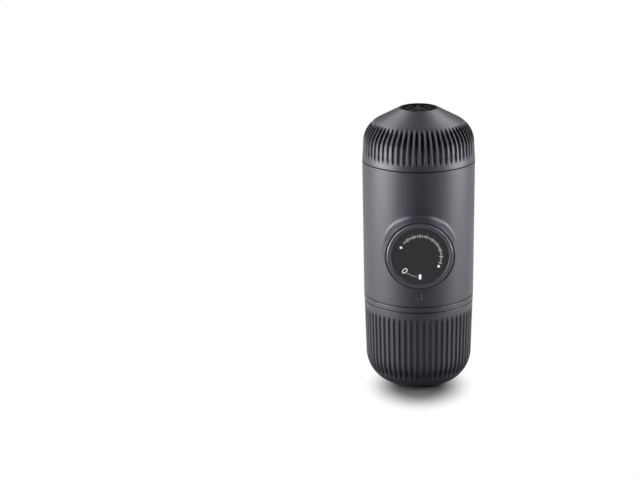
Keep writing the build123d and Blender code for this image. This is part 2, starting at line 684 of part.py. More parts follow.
def chassis_screws():
    top = DECK_TOP - SCREW_HEAD_H
    low = PLUG_Z + PLENUM_DEPTH + SCREW_HEAD_H
    upper = [spot * Pos(0, 0, top) * screw() for spot in frame_screw_spots()]
    lower = [spot * Pos(0, 0, low) * Rot(180, 0, 0) * screw() for spot in frame_screw_spots()]
    return Compound(children=[*upper, *lower])


def valve_seat(z0):
    seat = ring(VALVE_PORT_R, VALVE_BORE_R, z0, z0 + SEAT_H)
    return Pos(0, VALVE_Y, 0) * seat


def poppet(seat_z):
    """Flat poppet that closes upwards against its seat."""
    disc = rod(POPPET_R, seat_z - POPPET_H, seat_z)
    stem = rod(POPPET_STEM_R, seat_z - POPPET_H - POPPET_STEM_L, seat_z - POPPET_H)
    return Pos(0, VALVE_Y, 0) * (disc + stem)


def valve_spring(seat_z):
    spring = coil(VALVE_SPRING_R, VALVE_SPRING_WIRE_R, VALVE_SPRING_L, VALVE_SPRING_TURNS)
    return Pos(0, VALVE_Y, seat_z - POPPET_H - VALVE_SPRING_L) * spring


# ---------------------------------------------------------------- piston and knob
def piston_tube():
    """Hollow piston, open towards the chamber, with a groove for its seal."""
    front = WEB_BACK
    tube = rod(PISTON_R, PISTON_BACK, front) + rod(PISTON_HEAD_R, PISTON_BACK, PISTON_BACK + PISTON_HEAD_L)
    tube -= rod(PISTON_BORE_R, PISTON_BACK - 1, front - PISTON_CROWN_H)
    groove_z = PISTON_BACK + PISTON_HEAD_L / 2
    tube -= ring(BORE_R - SEAL_CLEAR - SEAL_DEPTH, BORE_R + 1, groove_z - SEAL_H / 2, groove_z + SEAL_H / 2)
    tube -= rod(BIG_SCREW_R, front - PISTON_CROWN_H + CROWN_FLOOR, front + 1)
    return PUMP * tube


def piston_seal():
    groove_z = PISTON_BACK + PISTON_HEAD_L / 2
    outer = BORE_R - SEAL_CLEAR
    return PUMP * ring(outer - SEAL_DEPTH, outer, groove_z - SEAL_H / 2, groove_z + SEAL_H / 2)


def piston_spring():
    length = (WEB_BACK - PISTON_CROWN_H) - BORE_BACK
    return PUMP * Pos(0, 0, BORE_BACK) * coil(SPRING_R, SPRING_WIRE_R, length, SPRING_TURNS)


def knob_shell():
    inner_r = KNOB_R - KNOB_BEZEL_W
    skirt_in = KNOB_SKIRT_R - KNOB_SKIRT_WALL
    hub_in = PISTON_R + PISTON_CLEAR
    hub_out = hub_in + KNOB_HUB_WALL
    shell = turned(
        (0, WEB_BACK),
        (hub_in, WEB_BACK),
        (hub_in, WEB_BACK - KNOB_HUB_L),
        (hub_out, WEB_BACK - KNOB_HUB_L),
        (hub_out, WEB_BACK),
        (skirt_in, WEB_BACK),
        (skirt_in, SKIRT_END),
        (KNOB_SKIRT_R, SKIRT_END),
        (KNOB_SKIRT_R, KNOB_BACK),
        (KNOB_R, KNOB_BACK),
        (KNOB_R, KNOB_FACE),
        (KNOB_R - KNOB_BEZEL_W / 2, KNOB_FACE),
        (inner_r, KNOB_FACE - KNOB_RECESS),
        (inner_r, DIAL_BACK),
        (0, DIAL_BACK),
    )
    brow = [
        e for e in shell.edges()
        if e.geom_type == GeomType.CIRCLE and e.radius > KNOB_R - 0.01 and e.center().Z > KNOB_FACE - 0.01
    ]
    shell = fillet(brow, KNOB_ROUND)
    for n in range(LUGS):
        start = n * 360 / LUGS - LUG_DEG / 2
        lug_r = KNOB_SKIRT_R + LUG_OUT
        shell += sector(KNOB_SKIRT_R - LUG_ROOT, lug_r, SKIRT_END, SKIRT_END + LUG_H, start, LUG_DEG)
    shell -= rod(BIG_SCREW_R, WEB_BACK - 1, DIAL_BACK + 1)
    shell -= rod(BIG_SCREW_HEAD_R, DIAL_BACK - BIG_SCREW_HEAD_H, DIAL_BACK + 1)
    return PUMP * shell


def dial_disc():
    radius = KNOB_R - KNOB_BEZEL_W - DIAL_CLEAR
    disc = rod(radius, DIAL_BACK, DIAL_BACK + DIAL_H)
    edge = disc.edges().filter_by(GeomType.CIRCLE).sort_by(Axis.Z)[-1]
    return PUMP * chamfer(edge, DIAL_CHAMFER)


def knob_screw():
    seat = DIAL_BACK - BIG_SCREW_HEAD_H
    tip = WEB_BACK - PISTON_CROWN_H + CROWN_FLOOR + SCREW_TIP_CLEAR
    shank = rod(BIG_SCREW_R, tip, seat)
    return PUMP * (shank + rod(BIG_SCREW_HEAD_R, seat, DIAL_BACK))


# ---------------------------------------------------------------- water tank
def dome_wire(inset):
    """Wall, shoulder and cone of the tank as connected edges, inset from the outside."""
    wall_top = Vector(TANK_WALL_R - inset, BODY_TOP + TANK_WALL_H)
    wall = Line((BODY_R_TOP - inset, BODY_TOP), wall_top)
    shoulder = JernArc(wall_top, (0, 1), TANK_SHOULDER_R - inset, 90 - TANK_CONE_DEG)
    return wall, shoulder


def dome(inset, top_z, bottom_z):
    """Solid of the dome, cut flat at top_z and carried down to bottom_z."""
    wall, shoulder = dome_wire(inset)
    end = shoulder @ 1
    slope = math.tan(math.radians(TANK_CONE_DEG))
    apex = Vector(end.X - (top_z - end.Y) / slope, top_z)
    start = wall @ 0
    rest = Polyline(end, apex, (0, top_z), (0, bottom_z), (start.X, bottom_z))
    sides = [wall, shoulder, rest]
    if bottom_z != start.Y:
        sides.append(Line((start.X, bottom_z), start))
    return revolve(Plane.XZ * make_face(sides), Axis.Z)


def tank_flute():
    wall, _ = dome_wire(-FLUTE_OFF)
    start = wall @ 0 + (wall % 0) * (TANK_FLUTE_BAND + FLUTE_RAMP)
    return flute_cutter(start, wall @ 1, TANK_SHOULDER_R + FLUTE_OFF, TANK_FLUTE_SWEEP)


def tank_shell():
    shell = dome(0, TANK_TOP, BODY_TOP) - shadow_gap(BODY_R_TOP, BODY_TOP)
    near_rim = BODY_TOP + 2 * SEAM_GAP
    rim = [
        e for e in shell.edges()
        if e.geom_type == GeomType.CIRCLE and e.radius > TANK_WALL_R and e.center().Z < near_rim
    ]
    shell = chamfer(rim, SEAM_CHAMFER)
    spigot_in = SKIRT_R - SKIRT_WALL
    web_z = BODY_TOP + SKIRT_WALL
    shell += rod(SKIRT_R, SPIGOT_Z, web_z)
    ceiling = TANK_TOP - VENT_H - VENT_FLOOR
    shell -= dome(TANK_WALL, ceiling, BODY_TOP) - rod(SHELL_R + 5, 0, web_z)
    shell -= rod(spigot_in, SPIGOT_Z - 1, web_z + 1)
    shell -= rod(VENT_R + VENT_CLEAR, TANK_TOP - VENT_H, TANK_TOP + 1)
    shell -= rod(VALVE_STEM_R, ceiling - 1, TANK_TOP)
    shell -= [loc * rod(VENT_HOLE_R, ceiling - 1, TANK_TOP) for loc in PolarLocations(VENT_HOLE_CIRCLE, 4)]
    return shell - flutes(tank_flute(), TANK_FLUTES)


def tank_seal():
    return ring(SKIRT_R - SKIRT_WALL, SKIRT_R, SEAL_Z, SPIGOT_Z)


def vent_insert():
    """Glossy plug of the air inlet: rimmed dish with a ring of raised studs and a hub."""
    z0 = TANK_TOP - VENT_H
    plug = rod(VENT_R, z0, TANK_TOP)
    plug = fillet(plug.edges().group_by(Axis.Z)[-1], VENT_RIM_ROUND)
    plug -= rod(VENT_R - VENT_RIM_W, TANK_TOP - VENT_DISH, TANK_TOP + 1)
    stud = rod(VENT_BUMP_R, TANK_TOP - VENT_DISH, TANK_TOP - VENT_DISH / 3)
    plug += [loc * stud for loc in PolarLocations(VENT_BUMP_CIRCLE, VENT_BUMPS)]
    plug += rod(VENT_HUB_R, TANK_TOP - VENT_DISH, TANK_TOP - VENT_DISH / 3)
    return plug - rod(VENT_HOLE_R, z0 - 1, TANK_TOP + 1)


def vent_valve():
    """Soft umbrella valve whose stem is held in the floor under the vent plug."""
    under = TANK_TOP - VENT_H - VENT_FLOOR
    umbrella = turned(
        (0, under),
        (UMBRELLA_R, under),
        (UMBRELLA_R, under - UMBRELLA_H / 2),
        (VALVE_STEM_R, under - UMBRELLA_H),
        (0, under - UMBRELLA_H),
    )
    return umbrella + rod(VALVE_STEM_R, under, TANK_TOP - VENT_H)


NODES = {
    "cup_shell": cup_shell,
    "head_shell": head_shell,
    "cup_grip_ring": cup_grip_ring,
    "spout_nozzle": spout_nozzle,
    "filter_basket": filter_basket,
    "brew_gasket": brew_gasket,
    "main_shell": main_shell,
    "lower_collar": lower_collar,
    "upper_collar": upper_collar,
    "brew_head": brew_head,
    "shower_screen": shower_screen,
    "shower_screw": shower_screw,
    "valve_block": valve_block,
    "pump_frame": pump_frame,
    "pump_cylinder": pump_cylinder,
    "guide_bush": guide_bush,
    "lock_ring": lock_ring,
    "water_deck": water_deck,
    "inlet_strainer": inlet_strainer,
    "chassis_screws": chassis_screws,
    "inlet_valve_seat": lambda: valve_seat(INLET_SEAT_Z),
    "inlet_valve_poppet": lambda: poppet(INLET_SEAT_Z),
    "inlet_valve_spring": lambda: valve_spring(INLET_SEAT_Z),
    "outlet_valve_seat": lambda: valve_seat(OUTLET_SEAT_Z),
    "outlet_valve_poppet": lambda: poppet(OUTLET_SEAT_Z),
    "outlet_valve_spring": lambda: valve_spring(OUTLET_SEAT_Z),
    "piston_tube": piston_tube,
    "piston_seal": piston_seal,
    "piston_spring": piston_spring,
    "knob_shell": knob_shell,
    "dial_disc": dial_disc,
    "knob_screw": knob_screw,
    "tank_shell": tank_shell,
    "tank_seal": tank_seal,
    "vent_insert": vent_insert,
    "vent_valve": vent_valve,
}

os.makedirs("parts", exist_ok=True)
for name, make in NODES.items():
    export_step(make(), f"parts/{name}.step")
    print("wrote", name)
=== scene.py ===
# %% [markdown]
# # A hand-pumped espresso maker
# The engineering model is loaded as a fixed frame: every moulded shell, ring, valve and screw is
# already there at its real size, in metres. This lesson dresses it. It gives each piece the finish
# of the real material, prints the white marks on the dial, adds the ridges of the screw threads,
# and sets up a small product studio. The box of the bare model is kept, and the floor is laid at
# its bottom.

# %% Load the frame
import json
import math

import bmesh
import bpy
from mathutils import Matrix, Vector


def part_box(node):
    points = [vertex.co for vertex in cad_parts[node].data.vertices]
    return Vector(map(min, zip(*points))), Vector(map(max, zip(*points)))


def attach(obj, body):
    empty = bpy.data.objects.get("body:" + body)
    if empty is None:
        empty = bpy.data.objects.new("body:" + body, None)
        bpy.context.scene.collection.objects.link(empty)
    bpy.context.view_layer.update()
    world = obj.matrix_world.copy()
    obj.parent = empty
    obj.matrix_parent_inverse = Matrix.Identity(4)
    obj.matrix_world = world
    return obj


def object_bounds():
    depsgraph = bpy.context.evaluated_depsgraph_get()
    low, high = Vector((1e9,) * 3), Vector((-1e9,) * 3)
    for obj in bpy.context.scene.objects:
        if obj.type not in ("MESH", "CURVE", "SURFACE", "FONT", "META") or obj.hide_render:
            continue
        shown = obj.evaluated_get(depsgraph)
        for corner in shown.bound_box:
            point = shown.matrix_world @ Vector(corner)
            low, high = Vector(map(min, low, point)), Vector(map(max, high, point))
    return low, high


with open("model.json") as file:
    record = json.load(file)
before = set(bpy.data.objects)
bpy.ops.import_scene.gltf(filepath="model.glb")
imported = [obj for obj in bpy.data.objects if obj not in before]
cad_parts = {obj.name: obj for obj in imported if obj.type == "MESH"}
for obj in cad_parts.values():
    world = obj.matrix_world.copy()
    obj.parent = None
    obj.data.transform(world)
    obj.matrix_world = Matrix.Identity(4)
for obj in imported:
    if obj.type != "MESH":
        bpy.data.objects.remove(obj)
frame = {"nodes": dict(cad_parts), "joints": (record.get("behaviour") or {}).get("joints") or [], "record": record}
cad_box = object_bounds()
MM = 0.001
nodes = frame["nodes"]
print("nodes", len(nodes), "box in mm", [round(v / MM, 1) for v in cad_box[1] - cad_box[0]])

# %% [markdown]
# ## Finishes
# A finish is a tree of shader nodes. Every tree here reads Object coordinates, so its grain is
# fixed to the piece and moves with it. A tree can be wired by hand in the Shader Editor; in code,
# two small helpers do the same. One adds a node and sets its choices and its sockets, and the
# other draws the links.


# %% Helpers for node trees
def add_node(tree, kind, settings=None, **sockets):
    """Add a shader node; settings are its own choices, and in a socket's name _ is a space."""
    node = tree.nodes.new("ShaderNode" + kind)
    for name, choice in (settings or {}).items():
        setattr(node, name, choice)
    for name, value in sockets.items():
        node.inputs[name.replace("_", " ")].default_value = value
    return node


def wire(tree, *links):
    """Draw links, each given as (from node, its output, to node, its input)."""
    for source, output, target, slot in links:
        tree.links.new(source.outputs[output], target.inputs[slot])


print("helpers:", add_node.__name__, wire.__name__)

# %% [markdown]
# ### The texture of a moulding
# A mould with a spark-eroded face gives plastic its satin skin: a grain about a hundredth of a
# millimetre deep. A flat colour would look like paint, and an image would have to be fitted round
# every rib. Noise in space needs no fitting, so one node group makes the texture of every plastic
# and rubber here. It puts out three things that change over the surface: the colour, the
# roughness and the height of the grain. Its inputs let each material use its own numbers.

# %% Sockets of the texture group
GRAIN_VALUES = {"Grain Scale": 1800.0, "Colour Spread": 0.08, "Rough Low": 0.4, "Rough High": 0.5}

texture = bpy.data.node_groups.new("moulded_texture", "ShaderNodeTree")
sockets = texture.interface
sockets.new_socket("Vector", in_out="INPUT", socket_type="NodeSocketVector")
for title, value in GRAIN_VALUES.items():
    sockets.new_socket(title, in_out="INPUT", socket_type="NodeSocketFloat").default_value = value
sockets.new_socket("Base", in_out="INPUT", socket_type="NodeSocketColor")
for title, kind in (("Colour", "Color"), ("Roughness", "Float"), ("Height", "Float")):
    sockets.new_socket(title, in_out="OUTPUT", socket_type="NodeSocket" + kind)
print("texture group:", [socket.name for socket in sockets.items_tree])

# %% [markdown]
# Two noises do the work. The fine one is the grain and goes out as height. The coarse one is a
# cloud, some millimetres across, that shades the base colour a little and moves the roughness
# between its two limits, as handling and uneven moulding do.

# %% Nodes of the texture group
CLOUD_SCALE = 60.0
CLOUD_SHADE = (0.35, 0.34, 0.36, 1.0)

given = texture.nodes.new("NodeGroupInput")
result = texture.nodes.new("NodeGroupOutput")
grain = add_node(texture, "TexNoise", Detail=3.0)
cloud = add_node(texture, "TexNoise", Scale=CLOUD_SCALE, Detail=4.0)
spread = add_node(texture, "Math", {"operation": "MULTIPLY"})
darker = add_node(texture, "Mix", {"data_type": "RGBA", "blend_type": "MULTIPLY"}, B=CLOUD_SHADE)
rough = add_node(texture, "MapRange", From_Min=0.3, From_Max=0.7)
wire(
    texture,
    (given, "Vector", grain, "Vector"),
    (given, "Grain Scale", grain, "Scale"),
    (grain, "Fac", result, "Height"),
    (given, "Vector", cloud, "Vector"),
    (cloud, "Fac", spread, 0),
    (given, "Colour Spread", spread, 1),
    (spread, 0, darker, "Factor"),
    (given, "Base", darker, "A"),
    (darker, "Result", result, "Colour"),
    (cloud, "Fac", rough, "Value"),
    (given, "Rough Low", rough, "To Min"),
    (given, "Rough High", rough, "To Max"),
    (rough, "Result", result, "Roughness"),
)
print("texture group nodes:", len(texture.nodes))

# %% [markdown]
# ### Plastics and rubber
# A material places the group, gives it its numbers and feeds the Principled shader, the height
# through a Bump node. Numbers that are the same all over the surface are set on the shader itself.
# Real mouldings also have softly rounded edges that catch a thin line of light, and the frame's
# edges are sharp. A Bevel modifier would change the frame's meshes, which isn't allowed, so a Bevel
# node does it in the shading only: near an edge it bends the normal, within its radius, and hands
# it on to the Bump node.

# %% A moulded material
EDGE_SAMPLES = 6


def moulded(
    name, base, rough, *, grain_scale=1800.0, depth=0.02, spread=0.1,
    specular=0.5, tint=(1.0, 1.0, 1.0), sheen=0.0, edge=0.0,
):
    """A fine-textured plastic or rubber; depth of the grain and edge radius in millimetres."""
    material = bpy.data.materials.new(name)
    material.use_nodes = True
    tree = material.node_tree
    shader = tree.nodes["Principled BSDF"]
    shader.inputs["Specular IOR Level"].default_value = specular
    shader.inputs["Specular Tint"].default_value = (*tint, 1.0)
    shader.inputs["Sheen Weight"].default_value = sheen
    coords = add_node(tree, "TexCoord")
    grain = add_node(
        tree, "Group", {"node_tree": texture}, Grain_Scale=grain_scale, Colour_Spread=spread,
        Rough_Low=rough[0], Rough_High=rough[1], Base=(*base, 1.0),
    )
    bump = add_node(tree, "Bump", Distance=depth * MM)
    wire(
        tree,
        (coords, "Object", grain, "Vector"),
        (grain, "Colour", shader, "Base Color"),
        (grain, "Roughness", shader, "Roughness"),
        (grain, "Height", bump, "Height"),
        (bump, "Normal", shader, "Normal"),
    )
    if edge:
        rounding = add_node(tree, "Bevel", {"samples": EDGE_SAMPLES}, Radius=edge * MM)
        wire(tree, (rounding, "Normal", bump, "Normal"))
    return material


print("rays for each rounded edge:", EDGE_SAMPLES)

# %% [markdown]
# The shells are a cool dark grey with a satin gloss; the knob is a shade lighter and smoother, and
# its disc a matt charcoal. Inside, the pump is black glass-filled plastic with natural white acetal
# where pieces rub. The plug of the air vent is polished black, and the seals are matt silicone
# with a little sheen. The ink of the dial's marks is a moulded finish too, with almost no grain.

# %% Plastics, rubber and ink
VIOLET_CAST = (0.95, 0.93, 1.0)
PLASTICS = {
    "shell_grey": dict(
        base=(0.020, 0.0175, 0.0245), rough=(0.38, 0.44), depth=0.012,
        specular=0.8, tint=VIOLET_CAST, edge=0.6,
    ),
    "knob_grey": dict(
        base=(0.044, 0.040, 0.050), rough=(0.30, 0.36), depth=0.008,
        specular=1.0, tint=VIOLET_CAST, edge=0.55,
    ),
    "dial_black": dict(
        base=(0.021, 0.019, 0.023), rough=(0.45, 0.52), grain_scale=2400.0, depth=0.01
    ),
    "inner_black": dict(base=(0.022, 0.022, 0.023), rough=(0.42, 0.55), grain_scale=1200.0),
    "bearing_white": dict(base=(0.70, 0.69, 0.65), rough=(0.35, 0.45), depth=0.01, spread=0.05),
    "gloss_black": dict(
        base=(0.010, 0.010, 0.011), rough=(0.08, 0.14), grain_scale=700.0, depth=0.003
    ),
    "silicone": dict(
        base=(0.060, 0.060, 0.064), rough=(0.55, 0.68), grain_scale=1500.0, depth=0.015, sheen=0.2
    ),
    "mark_ink": dict(
        base=(0.86, 0.86, 0.87), rough=(0.45, 0.55), grain_scale=2600.0, depth=0.004, spread=0.04
    ),
}
finishes = {name: moulded(name, **values) for name, values in PLASTICS.items()}
print("moulded finishes:", ", ".join(finishes))

# %% [markdown]
# ### Stainless steel
# The basket, the screens, the screws and the springs are stainless. Rolled sheet and drawn wire
# show fine lines. Anisotropic gloss would need a direction painted on every piece, so the lines
# are a noise that a Mapping node draws out. They move the roughness and the tone, and a very
# shallow height lets them catch the light.

# %% Steel
STEEL_BASE = (0.62, 0.61, 0.59)
STEEL_ROUGH = (0.18, 0.34)
LINE_STRETCH = (40.0, 40.0, 2500.0)
LINE_TONE = 0.82
LINE_DEPTH = 0.005 * MM

steel = bpy.data.materials.new("steel")
steel.use_nodes = True
tree = steel.node_tree
shader = tree.nodes["Principled BSDF"]
shader.inputs["Metallic"].default_value = 1.0
coords = add_node(tree, "TexCoord")
stretched = add_node(tree, "Mapping", Scale=LINE_STRETCH)
lines = add_node(tree, "TexNoise", Scale=1.0, Detail=4.0)
gloss = add_node(tree, "MapRange", To_Min=STEEL_ROUGH[0], To_Max=STEEL_ROUGH[1])
tone = add_node(
    tree, "Mix", {"data_type": "RGBA"},
    A=(*STEEL_BASE, 1.0), B=(*[LINE_TONE * c for c in STEEL_BASE], 1.0),
)
bump = add_node(tree, "Bump", Distance=LINE_DEPTH)
wire(
    tree,
    (coords, "Object", stretched, "Vector"),
    (stretched, "Vector", lines, "Vector"),
    (lines, "Fac", gloss, "Value"),
    (gloss, "Result", shader, "Roughness"),
    (lines, "Fac", tone, "Factor"),
    (tone, "Result", shader, "Base Color"),
    (lines, "Fac", bump, "Height"),
    (bump, "Normal", shader, "Normal"),
)
finishes["steel"] = steel
print("finishes:", len(finishes))

# %% [markdown]
# ## Dress the frame's own pieces
# The frame's pieces have their shapes already; only their plain finish has to go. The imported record
# says which material slot each node has, so the list of pieces isn't typed here: the slot is looked
# up by name and filled with the material made above.

# %% Dress every node
for part in frame["record"]["subparts"]:
    for material_slot in nodes[part["node"]].material_slots:
        material_slot.material = finishes[part["material_slot"]]

# %% [markdown]
# ## Working by hand, in code
# Each new piece of the dial starts as a primitive and is shaped with the same operators that a
# modeller presses on the keyboard. An operator acts on whatever is selected, and a new primitive
# is selected all over, so these small helpers clear the selection, and pick faces and points by
# where they are.


# %% Helpers for modelling
def make_active(piece):
    """Select one piece and nothing else."""
    bpy.ops.object.select_all(action="DESELECT")
    bpy.context.view_layer.objects.active = piece
    piece.select_set(True)


def start_editing(piece):
    """Make the piece active and enter edit mode with nothing selected."""
    make_active(piece)
    bpy.ops.object.mode_set(mode="EDIT")
    bpy.ops.mesh.select_mode(type="FACE")
    bpy.ops.mesh.select_all(action="DESELECT")


def stop_editing():
    bpy.ops.object.mode_set(mode="OBJECT")


def pick_faces(piece, wanted):
    """Select just the faces whose normal passes the test, and count them."""
    mesh = bmesh.from_edit_mesh(piece.data)
    for face in mesh.faces:
        face.select_set(wanted(face.normal))
    bmesh.update_edit_mesh(piece.data)
    return sum(face.select for face in mesh.faces)


def pick_points(piece, wanted):
    """Select just the points whose place passes the test."""
    bpy.ops.mesh.select_mode(type="VERT")
    mesh = bmesh.from_edit_mesh(piece.data)
    for point in mesh.verts:
        point.select_set(wanted(point.co))
    mesh.select_flush_mode()
    bmesh.update_edit_mesh(piece.data)


def settle(piece):
    """Put the piece's place into its mesh, so that its object sits at the origin."""
    make_active(piece)
    bpy.ops.object.transform_apply(location=True, rotation=True, scale=True)
    return piece


print("modelling helpers ready")

# %% [markdown]
# ## The marks on the dial
# The dial carries white marks: a filled lozenge at the bottom that lines up with the body's notch
# when the knob is locked, a hollow one further round for unlocked, small dots for the way between
# them, and two dots that divide the ring. Marks of this kind are usually pad-printed. A colour
# pattern in the disc's material would blur at their edges, so each mark is a very thin plate of
# ink that stands a few hundredths of a millimetre proud of the disc. The angle between the two
# lozenges is the turn that the knob's joint has in the frame, and the disc's own box gives the
# plane and the centre.

# %% Places on the dial
MARK_CIRCLE = 11.4 * MM
PRINT_THICKNESS = 0.04 * MM
LOCKED_AT = -90.0

dial_low, dial_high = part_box("dial_disc")
dial_face = dial_low.y
dial_centre = (dial_low + dial_high) / 2
unlock_turn = next(j for j in frame["joints"] if j["name"] == "knob_twist")["range_deg"][1]
unlocked_at = LOCKED_AT - unlock_turn


def lie_on_dial(piece, angle, radius=MARK_CIRCLE):
    """Place a mark drawn in XY at an angle from +X towards +Z, its +Y pointing to the centre."""
    turn = math.radians(angle)
    spot = Vector((radius * math.cos(turn), dial_face, dial_centre.z + radius * math.sin(turn)))
    stand_up = Matrix.Rotation(math.radians(90), 4, "X")
    spin = Matrix.Rotation(math.radians(-(angle + 90)), 4, "Y")
    piece.matrix_world = Matrix.Translation(spot) @ spin @ stand_up
    return settle(piece)


print("dial face y", round(dial_face / MM, 2), "mm, unlocked mark at", round(unlocked_at), "degrees")

# %% [markdown]
# ### The lozenges
# A lozenge is a disc whose two halves are moved apart, and then extruded to its thickness. The
# hollow one takes the same plate, insets its top and its underside, and bridges the two inner
# faces, which opens a clean hole without a boolean.

# %% Lozenges
LOCKED_MARK = (1.5 * MM, 3.0 * MM)
UNLOCKED_MARK = (2.15 * MM, 3.3 * MM)
UNLOCKED_LINE = 0.42 * MM


def lozenge(width, height, segments=10):
    """Flat plate with round ends, drawn in XY; segments are those of a quarter turn."""
    bpy.ops.mesh.primitive_circle_add(vertices=4 * segments, radius=width / 2, fill_type="NGON")
    piece = bpy.context.object
    half_straight = (height - width) / 2
    start_editing(piece)
    pick_points(piece, lambda at: at.y > 0)
    bpy.ops.transform.translate(value=(0, half_straight, 0))
    pick_points(piece, lambda at: at.y <= 0)
    bpy.ops.transform.translate(value=(0, -half_straight, 0))
    bpy.ops.mesh.select_mode(type="FACE")
    bpy.ops.mesh.select_all(action="SELECT")
    bpy.ops.mesh.extrude_region_move(TRANSFORM_OT_translate={"value": (0, 0, PRINT_THICKNESS)})
    stop_editing()
    return piece


def hollow_lozenge(width, height, line):
    """The same plate with its middle taken out."""
    piece = lozenge(width, height)
    start_editing(piece)
    flats = pick_faces(piece, lambda normal: abs(normal.z) > 0.9)
    bpy.ops.mesh.inset(thickness=line)
    bpy.ops.mesh.bridge_edge_loops()
    stop_editing()
    print("hollow lozenge: bridged", flats, "inset faces")
    return piece


marks = [
    lie_on_dial(lozenge(*LOCKED_MARK), LOCKED_AT),
    lie_on_dial(hollow_lozenge(*UNLOCKED_MARK, UNLOCKED_LINE), unlocked_at),
]
print("lozenges:", len(marks))

# %% [markdown]
# ### The dots
# Ink draws itself up into a very flat dome on a small dot. A short cylinder gives the dot, and an
# inset of its top, raised a little, gives the dome. The small dots are spread evenly over the way
# from one lozenge to the other, and stay clear of both.

# %% Dots
DOT = 0.75 * MM
DOTS_AT = (153.5, -28.5)
SMALL_DOT = 0.24 * MM
WAY_DOTS = 5
WAY_MARGIN = 11.0
DOME_INSET, DOME_RISE = 0.25, 0.2


def dot(radius):
    """Round printed dot with a slightly raised middle, drawn in XY."""
    bpy.ops.mesh.primitive_cylinder_add(vertices=20, radius=radius, depth=PRINT_THICKNESS)
    piece = bpy.context.object
    start_editing(piece)
    pick_faces(piece, lambda normal: normal.z > 0.9)
    bpy.ops.mesh.inset(thickness=radius * DOME_INSET)
    bpy.ops.transform.translate(value=(0, 0, PRINT_THICKNESS * DOME_RISE))
    bpy.ops.mesh.select_all(action="SELECT")
    bpy.ops.transform.translate(value=(0, 0, PRINT_THICKNESS / 2))
    stop_editing()
    return piece


for angle in DOTS_AT:
    marks.append(lie_on_dial(dot(DOT), angle))
way_step = (unlock_turn - 2 * WAY_MARGIN) / (WAY_DOTS - 1)
for n in range(WAY_DOTS):
    marks.append(lie_on_dial(dot(SMALL_DOT), LOCKED_AT - WAY_MARGIN - n * way_step))
print("lozenges and dots:", len(marks))

# %% [markdown]
# ### The ring of ticks
# Over the upper half, from dot to dot, runs a ring of fine ticks, every third one longer. A tick
# is a lozenge too, only much narrower and with fewer segments. All marks are one print, so they
# are joined into one piece, which rides on the knob and turns with it.

# %% Ticks, and the whole print
TICK_STEP = 6.0
TICK_WIDTH = 0.32 * MM
TICK_LONG = 1.9 * MM
TICK_SHORT = 1.1 * MM
TICKS_FROM, TICKS_TO = -18.0, 142.0

for n in range(int((TICKS_TO - TICKS_FROM) / TICK_STEP) + 1):
    length = TICK_SHORT if n % 3 else TICK_LONG
    tick = lozenge(TICK_WIDTH, length, segments=3)
    marks.append(lie_on_dial(tick, TICKS_FROM + n * TICK_STEP))
print("marks in all:", len(marks))

make_active(marks[0])
for mark in marks:
    mark.select_set(True)
bpy.ops.object.join()
dial_marks = marks[0]
dial_marks.name = "dial_marks"
dial_marks.data.materials.clear()
dial_marks.data.materials.append(finishes["mark_ink"])
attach(dial_marks, "knob")
print("dial marks:", len(dial_marks.data.polygons), "faces")

# %% [markdown]
# ## The screw threads
# The tank and the outlet head are screwed into the body. The frame has both joints as plain sleeves
# with room between them, and the ridges are added here: three starts, right-handed, with the lead
# that the joints are coupled by, so that a full turn lifts the piece by just that much and the
# ridges stay in step. The sleeves' radii are read from the frame's own meshes.

# %% Values of the threads
THREAD_STARTS = 3
THREAD_DEPTH = 0.55 * MM
ROOT_WIDTH = 1.5 * MM
CREST_WIDTH = 0.6 * MM
ROOT_BITE = 0.05 * MM
RUN_OUT_DEG = 24.0
THINNEST_SHARE = 0.02
DEG_PER_SECTION = 4.0
FEWEST_SECTIONS = 6

couplings = frame["record"]["behaviour"]["couplings"]
lead = 2 * math.pi * next(c for c in couplings if c["joint"] == "tank_rise")["ratio"]
print("lead", round(lead / MM, 2), "mm")

# %% [markdown]
# A ridge is a trapezium swept along a helix. The Screw operator can sweep one, but it can't make
# it thinner at its ends, where a real thread runs out of the wall. So the ridge is built section by
# section: each section is four points, an ease that falls to almost nothing at both ends scales
# it, and neighbouring sections are joined by four faces. Its root bites a little into the wall, so
# that no gap shows.


# %% One ridge
def thread_ridge(mesh, wall_radius, depth, low, high, start_angle):
    """Add one helical ridge to a bmesh; a negative depth points inwards."""
    height = high - low - ROOT_WIDTH
    total = 360.0 * height / lead
    count = max(FEWEST_SECTIONS, round(total / DEG_PER_SECTION))
    root = wall_radius - math.copysign(ROOT_BITE, depth)
    rows = []
    for step in range(count + 1):
        along = total * step / count
        ease = min(1.0, along / RUN_OUT_DEG, (total - along) / RUN_OUT_DEG)
        ease = max(THINNEST_SHARE, ease)
        angle = math.radians(start_angle + along)
        z = low + ROOT_WIDTH / 2 + height * step / count
        crest = wall_radius + depth * ease
        section = (
            (root, -ROOT_WIDTH / 2 * ease),
            (crest, -CREST_WIDTH / 2 * ease),
            (crest, CREST_WIDTH / 2 * ease),
            (root, ROOT_WIDTH / 2 * ease),
        )
        places = [(r * math.cos(angle), r * math.sin(angle), z + rise) for r, rise in section]
        rows.append([mesh.verts.new(place) for place in places])
    for near, far in zip(rows, rows[1:]):
        for n in range(4):
            m = (n + 1) % 4
            mesh.faces.new((near[n], near[m], far[m], far[n]))
    mesh.faces.new(rows[0])
    mesh.faces.new(list(reversed(rows[-1])))


print("sections in a full turn:", round(360.0 / DEG_PER_SECTION))

# %% [markdown]
# A thread is three such ridges in one piece. Every start follows the same helix in space, wherever
# its sleeve begins, and the socket's ridges are half a pitch away from those of the screw, so the
# two never touch.


